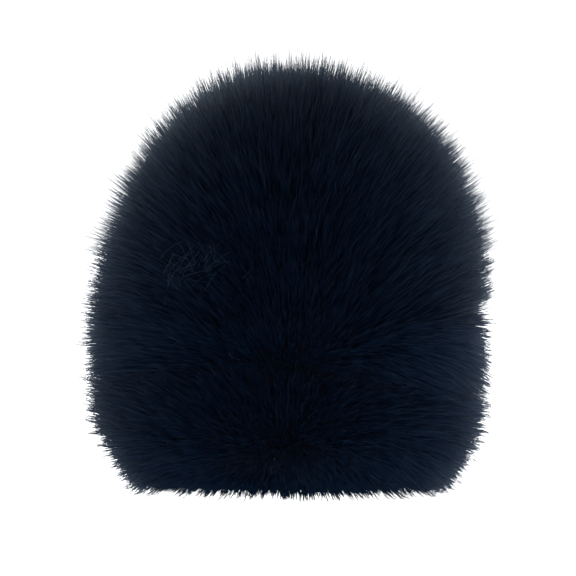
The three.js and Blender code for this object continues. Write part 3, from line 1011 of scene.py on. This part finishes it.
for side, (start, end) in gore_edges.items():

    def foam_face(azimuth, share, start=start, end=end):
        """The outer face, drawn in towards the inner one near the sewn edges, and pitted by a 2 mm wave."""
        far, near = foam_outside.point(azimuth, share), foam_inside.point(azimuth, share)
        edge = np.minimum(azimuth - start, end - azimuth) / PINCH_REACH
        pull = PINCH * (1 - smooth(edge))[..., None]
        pits = waves(far.reshape(-1, 3), 2 * MM, 31)[:, :1].reshape(*far.shape[:2], 1) * 0.03 * MM
        return far + (near - far) * pull + unit(near - far) * (0.12 * MM + pits)

    azimuths, shares = np.linspace(start, end, FOAM_ACROSS), np.linspace(0, 1, GORE_DOWN)
    foam_piece = shell(f"foam_{side}_gore_pad", foam_face, foam_inside.point, azimuths, shares)
    move(foam_piece, np.array(gore_out[side]) * GORE_SHIFT)
    finish_piece(foam_piece, foam_material, "cover", f"foam_{side}_gore")
    width, length = (CUT_SLACK * size for size in gore_cut(backing, start, end))
    declare_cloth(backing_pieces[side], width, length)

# %% [markdown]
# ## The lining
# A knitted mesh lining faces the pocket, so that the recorder slides in without dragging on the foam. It is
# two halves with a seam up each side. Each is a closed shell a little under a millimetre thick, with shallow
# folds that run from the crown to the rim.

# %% Make the lining
LINING_FOLDS, FOLD_DEPTH = 26, 0.18 * MM
LINING_ACROSS, LINING_DOWN = 140, 56
LINING_SHIFT = 0.15 * MM
lining_outside = layer(LINING_AT, LINING_AT_RIM)
lining_inside = layer(LINING_AT + LINING_THICK, LINING_AT_RIM + LINING_THICK)


def lining_face(azimuth, share):
    """The inner face with shallow folds round the bag, which fade towards the crown and the rim."""
    near, far = lining_inside.point(azimuth, share), lining_outside.point(azimuth, share)
    depth = FOLD_DEPTH * np.sin(LINING_FOLDS * azimuth + 3 * np.sin(4 * share)) * np.sin(np.pi * share) ** 2
    return near + unit(far - near) * depth[..., None]


for side, start, shift in (("front", -np.pi, -LINING_SHIFT), ("back", 0.0, LINING_SHIFT)):
    azimuths, shares = np.linspace(start, start + np.pi, LINING_ACROSS), np.linspace(0, 1, LINING_DOWN)
    piece = shell(f"lining_{side}_mesh", lining_outside.point, lining_face, azimuths, shares)
    move(piece, (0, shift, 0))
    finish_piece(piece, lining_material, "cover", f"lining_{side}")
    width, length = gore_cut(lining_inside, start, start + np.pi)
    declare_cloth(piece, width * CUT_SLACK, length * CUT_SLACK)

# %% [markdown]
# ## The seam tapes and the crown patch
# Where two gores meet, their raw edges would fray, so a woven tape is sewn over each seam on the inside, and
# a round patch covers the point where the four seams come together at the crown.

# %% Sew on the tapes
TAPE_AT, TAPE_THICK, TAPE_WIDTH = 0.3 * MM, 0.7 * MM, 9 * MM
TAPE_START, PATCH_END = 3 / 14, 2 / 14
tape_outside = layer(TAPE_AT, TAPE_AT)
tape_inside = layer(TAPE_AT + TAPE_THICK, TAPE_AT + TAPE_THICK)
TAPE_COLUMNS = 12
# the narrowest flat width that a sheet may be declared with
SHEET_LEAST = 10 * MM  # the flat width given for a narrow strip of cloth
seams = {
    "front_right": -SEAM_TURN,
    "back_right": SEAM_TURN,
    "back_left": np.pi - SEAM_TURN,
    "front_left": SEAM_TURN - np.pi,
}


def seam_tape(name, seam):
    """A strip along a seam: each section runs across its outer face and back across its inner one, and its
    edges are rounded. Half of its width takes up an azimuth of that width over the radius."""
    shares = np.linspace(TAPE_START, 1, 90)[:, None]
    across = np.linspace(-1, 1, TAPE_COLUMNS)[None]
    middle = tape_inside.point(seam, shares)
    turn = TAPE_WIDTH / 2 / np.linalg.norm(middle[..., :2], axis=-1)
    outer = tape_outside.point(seam + across * turn, shares)
    inner = tape_inside.point(seam + across * turn, shares)
    rounded = unit(inner - outer) * (0.25 * MM * np.abs(across) ** 6)[..., None]
    grid = np.concatenate([outer + rounded, (inner - rounded)[:, ::-1]], 1)
    aside = np.concatenate([across, across[:, ::-1]], 1) * TAPE_WIDTH / 2 / MM
    along, aside = np.broadcast_arrays(shares * DOWN_MM, aside)
    return closed_skin(name, grid, np.stack([along, aside], -1)), run_length(middle[:, 0])[-1]


def run_length(line):
    """The distance along a line of points (n, 2 or 3), from its first point to each."""
    step = np.linalg.norm(np.diff(line, axis=0), axis=-1)
    return np.concatenate([[0], np.cumsum(step)])


for corner, seam in seams.items():
    tape, length = seam_tape(f"seam_tape_{corner}_ribbon", seam)
    finish_piece(tape, tape_material, "cover", f"seam_tape_{corner}")
    declare_cloth(tape, SHEET_LEAST, float(length))

patch = shell(
    "crown_patch_disc",
    tape_outside.point,
    tape_inside.point,
    np.linspace(-np.pi, np.pi, 72, endpoint=False),
    np.linspace(0, PATCH_END, 14),
    ring=True,
)
finish_piece(patch, tape_material, "cover", "crown_patch")
patch_size = 2 * run_length(tape_inside.point(0, np.linspace(0, PATCH_END, 40)))[-1]
declare_cloth(patch, float(patch_size), float(patch_size))

# %% [markdown]
# ## Strips bent along a line
# The rim binding, the folded mouth tape, its elastic, the cuff and the label are all strips of cloth that
# keep one bent section along their length. The section starts as a line through a few corners. It is rounded
# by averaging neighbours, then moved by half of the thickness to each side, with round ends.

# %% Bend a strip
TRACE_POINTS = 160
TRACE_SOFTEN = 60  # how many times the corners are averaged


def trace(corners, count=34):
    """A rounded line through corners (..., k, 2), as count points that stand closer together at both ends."""
    corners = np.asarray(corners, float)
    mean = corners.reshape(-1, *corners.shape[-2:]).mean(0)
    run = run_length(mean)
    place = np.linspace(0, run[-1], TRACE_POINTS)
    piece = np.clip(np.searchsorted(run, place, side="right") - 1, 0, len(run) - 2)
    share = ((place - run[piece]) / (run[piece + 1] - run[piece]))[:, None]
    line = corners[..., piece, :] * (1 - share) + corners[..., piece + 1, :] * share
    for _ in range(TRACE_SOFTEN):
        line[..., 1:-1, :] = (line[..., :-2, :] + 2 * line[..., 1:-1, :] + line[..., 2:, :]) / 4
    at = np.round((1 - np.cos(np.linspace(0, np.pi, count))) / 2 * (TRACE_POINTS - 1)).astype(int)
    return line[..., np.unique(at), :]


def outline(line, thick):
    """The closed outline of a strip whose section is a line (..., n, 2): half the thickness to each side."""
    way = unit(np.gradient(line, axis=-2))
    side = np.stack([-way[..., 1], way[..., 0]], -1)
    place = np.linspace(-1, 1, line.shape[-2])[:, None]
    half = thick / 2 * np.sqrt(1 - 0.98 * np.abs(place) ** 14)
    return np.concatenate([line + side * half, (line - side * half)[..., ::-1, :]], axis=-2)


def strip(name, line, thick, place, ring=False):
    """A strip with a section of (out, height) points at each station, which place() puts in space. Its UV map
    is in millimetres: u along the strip and v across it."""
    section = outline(line, thick)
    grid = place(section[..., 0], section[..., 1])
    along = run_length(grid[:, 0])[:, None] / MM
    line_run = run_length(line.reshape(-1, *line.shape[-2:])[0]) / MM
    across = np.concatenate([line_run, line_run[::-1]])[None]
    uv = np.stack(np.broadcast_arrays(along, across), -1)
    return closed_skin(name, grid, uv, ring)


THREAD_RINGS, THREAD_SIDES = 5, 6


def stitch_row(name, start, end, bow, radius):
    """Short threads from start to end (n, 3) that bow out by bow (n, 3) x sqrt(4t(1-t)). The rings of each
    narrow at both ends."""
    t = np.linspace(0.03, 0.97, THREAD_RINGS)
    arch = np.sqrt(4 * t * (1 - t))[None, :, None]
    line = start[:, None] + (end - start)[:, None] * t[None, :, None] + bow[:, None] * arch
    way = unit(end - start)
    side = unit(np.cross(way, bow))
    up = np.cross(side, way)
    turn = np.linspace(0, TURN, THREAD_SIDES, endpoint=False)
    spoke = side[:, None, None] * np.cos(turn)[:, None] + up[:, None, None] * np.sin(turn)[:, None]
    points = line[:, :, None] + spoke * radius * (0.45 + 0.55 * arch[..., None])
    count = len(start)
    length = np.linalg.norm(end - start, axis=-1)[:, None, None] / MM
    u, v = np.broadcast_arrays(t[None, :, None] * length, turn[None, None] / TURN)
    ring = np.arange(THREAD_SIDES)
    after = np.roll(ring, -1)
    last = (THREAD_RINGS - 1) * THREAD_SIDES
    band = np.stack([ring, after, after + THREAD_SIDES, ring + THREAD_SIDES], -1)
    quads = np.concatenate([band + low for low in range(0, last, THREAD_SIDES)])
    caps = np.stack([ring[::-1], last + ring])
    first = (np.arange(count) * THREAD_RINGS * THREAD_SIDES)[:, None, None]
    faces = [(quads[None] + first).reshape(-1, 4), (caps[None] + first).reshape(-1, THREAD_SIDES)]
    piece = put_mesh(name, points.reshape(-1, 3), faces, np.stack([u, v], -1).reshape(-1, 2))
    close_up(piece)
    return piece


# %% [markdown]
# ## The bound rim
# All the layers end together at the rim, where one folded tape wraps their edges. A row of stitches runs
# round it, and between two stitches the tape puckers outwards a little.

# %% Bind the rim
RIM_STATIONS = 300
RIM_STITCHES = 50
PUCKER = 0.14 * MM
BINDING_THICK = 1.0 * MM
BINDING_IN = 0.9 * MM  # from the rim's line to the middle of the tape
BINDING_LOW = 2.75 * MM
STITCH_IN, STITCH_HEIGHT = 2.0 * MM, 3.4 * MM
STITCH_SLANT = 0.18 * MM
STITCH_BOW, STITCH_THICK = 0.16 * MM, 0.22 * MM


def rim_at(azimuth):
    """The distance from the axis to the rim's line."""
    return reach(azimuth, RIM_WIDTH, RIM_DEPTH, RIM_POWER)


def binding_line(azimuth):
    """The middle of the tape in (radius, height): up the outside of the rim, over it, and up the lining."""
    at_rim, above_rim = (lining_inside.point(azimuth, share) for share in (1.0, 0.9))
    corners = [
        (rim_at(azimuth) - BINDING_IN, np.full_like(azimuth, BINDING_LOW)),
        (rim_at(azimuth) - BINDING_IN, np.full_like(azimuth, RIM_HEIGHT - 0.3 * MM)),
        (np.hypot(at_rim[:, 0], at_rim[:, 1]) - 0.95 * MM, at_rim[:, 2] - 0.2 * MM),
        (np.hypot(above_rim[:, 0], above_rim[:, 1]) - 1.05 * MM, above_rim[:, 2] + 0.1 * MM),
    ]
    return trace(np.stack([np.stack(corner, -1) for corner in corners], 1))


rim_azimuth = np.linspace(0, TURN, RIM_STATIONS, endpoint=False)
rim_line = binding_line(rim_azimuth)
near_stitch = np.exp(-(((rim_line[..., 1] - STITCH_HEIGHT) / (1.2 * MM)) ** 2))
rim_line[..., 0] += PUCKER * np.cos(RIM_STITCHES * rim_azimuth)[:, None] * near_stitch


def round_the_rim(out, height):
    """Puts (radius, height) points at the stations of the rim."""
    return polar(rim_azimuth[:, None], out, height)


rim_piece = strip("rim_binding_tape", rim_line, BINDING_THICK, round_the_rim, ring=True)
finish_piece(rim_piece, binding_material, "cover", "rim_binding")

stitch_middle = (np.arange(RIM_STITCHES) + 0.5) * TURN / RIM_STITCHES
half_turn = 0.36 * TURN / RIM_STITCHES
stitch_ends = []
for sign in (-1, 1):
    end_turn = stitch_middle + sign * half_turn
    stitch_ends.append(polar(end_turn, rim_at(end_turn) - STITCH_IN, STITCH_HEIGHT + sign * STITCH_SLANT))
inwards = -polar(stitch_middle, 1.0, 0.0) * STITCH_BOW
rim_stitches = stitch_row("rim_stitch_threads", *stitch_ends, inwards, STITCH_THICK)
finish_piece(rim_stitches, thread_material, "cover", "rim_stitch")

# %% [markdown]
# ## The elastic mouth
# The mouth that grips the recorder is a folded tape with a flat elastic inside it. It has two halves, front
# and back, which meet at a bar tack on each side. When the recorder goes in, each half is pulled outwards,
# while its ends stay at the tacks.

# %% Make the mouth
TURN_RADIUS, HALF_STRAIGHT = 14 * MM, 17 * MM
BAND_SHIFT = 0.3 * MM  # from the middle of the cover to the end of each half
BAND_HALF, BAND_WALL = 1.35 * MM, 0.6 * MM  # from the elastic's middle to the middle of a wall of the tape
BAND_LOW, BAND_HIGH = 2.4 * MM, 7.95 * MM
ELASTIC_THICK, ELASTIC_LOW, ELASTIC_HIGH = 1.3 * MM, 2.9 * MM, 7.5 * MM
BLEND_REACH = 6 * MM
MOUTH_STATIONS = 204
GATHERS = 34  # small folds round half of the mouth, where the elastic draws the tape in
GATHER_DEPTH = 0.10 * MM
FOLD_POINTS, ELASTIC_POINTS = 44, 20
MOUTH_STITCHES = 24
BAND_STITCH_OUT, BAND_STITCH_HEIGHT = 2.2 * MM, 7.0 * MM
BAND_STITCH_BOW, BAND_STITCH_THICK = 0.12 * MM, 0.2 * MM


def mouth_line(count=MOUTH_STATIONS, margin=0.0):
    """Points and outward ways along half of the mouth: a quarter turn, a straight run, and another."""
    quarter = TURN_RADIUS * np.pi / 2
    total = 2 * quarter + 2 * HALF_STRAIGHT
    run = np.linspace(margin, total - margin, count)
    turn = -np.pi + np.clip(run, 0, quarter) / TURN_RADIUS
    turn = turn + np.clip(run - quarter - 2 * HALF_STRAIGHT, 0, quarter) / TURN_RADIUS
    centre = -HALF_STRAIGHT + np.clip(run - quarter, 0, 2 * HALF_STRAIGHT)
    way = np.stack([np.cos(turn), np.sin(turn)], -1)
    return np.stack([centre, 0 * centre], -1) + way * TURN_RADIUS, way, run


def on_mouth(sign, line=None):
    """A function that puts (out, height) points along the mouth's front (1) or back (-1) half."""
    middle, way, _ = line or mouth_line()

    def place(out, height):
        flat = middle[:, None] + way[:, None] * out[..., None]
        return np.stack([flat[..., 0], sign * (flat[..., 1] - BAND_SHIFT), height + 0 * flat[..., 0]], -1)

    return place


def follow_mouth(piece):
    """Bakes the piece's place into its points, so that its object stands at the origin."""
    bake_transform(piece)


fold_corners = [(-BAND_HALF, BAND_HIGH), (-BAND_HALF, BAND_LOW)]
fold_corners += [(BAND_HALF, BAND_LOW), (BAND_HALF, BAND_HIGH)]
folded = trace(fold_corners, FOLD_POINTS)
_, _, mouth_run = mouth_line()
gather = GATHER_DEPTH * np.sin(mouth_run / mouth_run[-1] * GATHERS * TURN)[:, None]
folded = np.repeat(folded[None], MOUTH_STATIONS, 0)
folded[..., 0] += gather * np.sign(folded[..., 0]) * smooth((BAND_HIGH - folded[..., 1]) / (4 * MM))
elastic_heights = np.linspace(ELASTIC_LOW, ELASTIC_HIGH, ELASTIC_POINTS)
elastic_line = np.stack([np.zeros(ELASTIC_POINTS), elastic_heights], -1)
elastic_line = np.repeat(elastic_line[None], MOUTH_STATIONS, 0)

for side, sign in (("front", 1), ("back", -1)):
    tape = strip(f"mouth_tape_{side}_fold", folded, BAND_WALL, on_mouth(sign))
    finish_piece(tape, binding_material, None, f"mouth_tape_{side}")
    elastic = strip(f"mouth_elastic_{side}_braid", elastic_line, ELASTIC_THICK, on_mouth(sign))
    finish_piece(elastic, elastic_material, None, f"mouth_elastic_{side}")
    ends = mouth_line(2 * MOUTH_STITCHES, margin=1.2 * MM)
    out = np.full((2 * MOUTH_STITCHES, 1), BAND_STITCH_OUT)
    spots = on_mouth(sign, ends)(out, np.full_like(out, BAND_STITCH_HEIGHT))[:, 0]
    away = np.stack([ends[1][::2, 0], sign * ends[1][::2, 1], 0 * ends[1][::2, 0]], -1) * BAND_STITCH_BOW
    threads = stitch_row(f"mouth_stitch_{side}_threads", spots[::2], spots[1::2], away, BAND_STITCH_THICK)
    finish_piece(threads, thread_material, None, f"mouth_stitch_{side}")
    for piece in (tape, elastic, threads):
        follow_mouth(piece)
    print("mouth", side, "half is", round(float(mouth_run[-1]) / MM), "mm long")

# %% [markdown]
# ## The stretch cuff
# Between the rim and the mouth is a ribbed knit cuff. On each side it is two overlapping plies: the outer one
# is sewn into the rim and stays with the cover, and the inner one is sewn to the mouth and slides over it as
# the mouth opens. The outer ply ends where the stretched mouth will reach, so that the two never meet.

# %% Make the cuff
TRAVEL = 4 * MM  # how far each half of the mouth is pulled out
CUFF_IN = 1.95 * MM  # from the rim's line to the cuff's outer edge
CUFF_OUT = 2.05 * MM  # from the mouth's line to its inner edge
PLY_THICK = 0.45 * MM
PLY_HEIGHTS = (4.65 * MM, 5.2 * MM)
PLY_CLEAR, PLY_OVERLAP = 0.3 * MM, 0.8 * MM
PLY_POINTS = 18
PLY_RIDGE, PLY_RIBS = 0.16 * MM, 0.04 * MM  # the height of the rolled edge, and of the ribs
CUFF_SHIFT = 0.15 * MM
RIM_SAMPLES = 2000


def cuff_lines():
    """Along half of the cuff: the points at the mouth, those at the rim on the same share of its length, and
    the share of the way in that the outer ply may take before the stretched mouth meets it."""
    middle, way, run = mouth_line()
    near = middle + way * CUFF_OUT
    azimuth = np.linspace(-np.pi, 0, RIM_SAMPLES)
    rim = polar(azimuth, rim_at(azimuth) - CUFF_IN, 0)[:, :2]
    rim_run = run_length(rim)
    share = np.interp(np.arctan2(near[:, 1], near[:, 0]), azimuth, rim_run / rim_run[-1])
    far = np.stack([np.interp(share * rim_run[-1], rim_run, rim[:, axis]) for axis in (0, 1)], -1)
    moved = near - [0, 1] * smooth(-near[:, 1:] / BLEND_REACH) * TRAVEL
    room = rim_at(np.arctan2(moved[:, 1], moved[:, 0])) - CUFF_IN - np.linalg.norm(moved, axis=-1)
    gap = np.linalg.norm(far - near, axis=-1)
    return near, far, gap, np.clip((room - PLY_CLEAR) / gap, 0.2, 0.9)


cuff_near, cuff_far, cuff_gap, cuff_share = cuff_lines()
print("cuff is", [round(float(g) / MM, 1) for g in (cuff_gap.min(), cuff_gap.max())], "mm wide")


def on_cuff(sign):
    """Puts (share of the way in, height) points between the rim and the mouth."""

    def place(inwards, height):
        flat = cuff_far[:, None] + (cuff_near - cuff_far)[:, None] * inwards[..., None]
        return np.stack([flat[..., 0], sign * (flat[..., 1] - CUFF_SHIFT), height], -1)

    return place


def ply(name, start, end, height, sign, roll):
    """One ply from start to end, as shares of the way in (stations,), with a rolled edge: roll is the share
    of the ply, from its free edge, that is raised by a rounded ridge."""
    t = (1 - np.cos(np.linspace(0, np.pi, PLY_POINTS))) / 2
    share = start[:, None] + (end - start)[:, None] * t
    ridge = PLY_RIDGE * np.exp(-(((t - roll) / 0.12) ** 2))
    ribs = PLY_RIBS * np.sin(np.arange(len(start)) * 0.9)[:, None]
    middle = height + ridge + ribs * np.sin(np.pi * t)
    half = PLY_THICK / 2 * np.sqrt(1 - 0.98 * np.abs(2 * t - 1) ** 8)
    section = np.concatenate([share, share[:, ::-1]], 1)
    level = np.concatenate([middle + half, (middle - half)[:, ::-1]], 1)
    grid = on_cuff(sign)(section, level)
    along = run_length(cuff_near)[:, None] / MM
    aside = section * cuff_gap[:, None] / MM
    return closed_skin(name, grid, np.stack(np.broadcast_arrays(along, aside), -1))


cuff_whole = np.ones_like(cuff_share)
for side, sign in (("front", 1), ("back", -1)):
    outer_ply = ply(f"cuff_{side}_outer_ply", 0 * cuff_whole, cuff_share, PLY_HEIGHTS[0], sign, 0.88)
    finish_piece(outer_ply, cuff_material, "cover", f"cuff_{side}")
    inner_start = cuff_share - PLY_OVERLAP / cuff_gap
    inner_ply = ply(f"cuff_{side}_inner_ply", inner_start, cuff_whole, PLY_HEIGHTS[1], sign, 0.12)
    finish_piece(inner_ply, cuff_material, None, f"cuff_{side}")
    follow_mouth(inner_ply)
    length = float(run_length(cuff_far)[-1])
    declare_cloth(outer_ply, SHEET_LEAST, length)
    declare_cloth(inner_ply, SHEET_LEAST, length)

# %% [markdown]
# ## The bar tacks and the label
# A bar tack is a dense block of satin stitches over the ends of the bands. The label is a folded strip of
# white ribbon, sewn into the lining and left blank here.

# %% Sew the tacks and the label
TACK_STITCHES = 13
TACK_BOW, TACK_THICK = 0.12 * MM, 0.26 * MM
for side, sign in (("right", 1), ("left", -1)):
    low, high = (np.array(corner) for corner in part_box(f"bar_tack_{side}"))
    along = np.linspace(low[1] + 0.3 * MM, high[1] - 0.3 * MM, TACK_STITCHES)
    rows = []
    for x in (low[0] + 0.15 * MM, high[0] - 0.15 * MM):
        rows.append(np.stack(np.broadcast_arrays(x, along, (low[2] + high[2]) / 2), -1))
    bow = np.tile([0, 0, -TACK_BOW], (TACK_STITCHES, 1))
    tack = stitch_row(f"bar_tack_{side}_threads", *rows, bow, TACK_THICK)
    finish_piece(tack, thread_material, "cover", f"bar_tack_{side}")

label_low, label_high = (np.array(corner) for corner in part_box("care_label"))
LABEL_THICK, LABEL_HALF, LABEL_BOW = 0.2 * MM, 0.18 * MM, 0.6 * MM
LABEL_STATIONS, LABEL_POINTS = 30, 60
label_y = (label_low[1] + label_high[1]) / 2
label_corners = [(-LABEL_HALF, label_high[2]), (-LABEL_HALF, label_low[2])]
label_corners += [(LABEL_HALF, label_low[2]), (LABEL_HALF, label_high[2])]
label_fold = trace(label_corners, LABEL_POINTS)
label_x = np.linspace(label_low[0], label_high[0], LABEL_STATIONS)[:, None]
label_line = np.repeat(label_fold[None], LABEL_STATIONS, 0)


def hang_label(out, height):
    """Puts (out, height) points along the label, which bows forwards in the middle of its lower end."""
    hang = (label_high[2] - height) / (label_high[2] - label_low[2])
    bow = LABEL_BOW * hang * np.cos(label_x / label_high[0] * np.pi / 2)
    return np.stack(np.broadcast_arrays(label_x, label_y + out - bow, height), -1)


label = strip("care_label_ribbon", label_line, LABEL_THICK, hang_label)
finish_piece(label, label_material, "cover", "care_label")
label_size = [float(v) for v in (label_high - label_low)[[0, 2]]]
declare_cloth(label, label_size[0], 2 * label_size[1])
print("label", [round(v / MM, 1) for v in label_size], "mm")
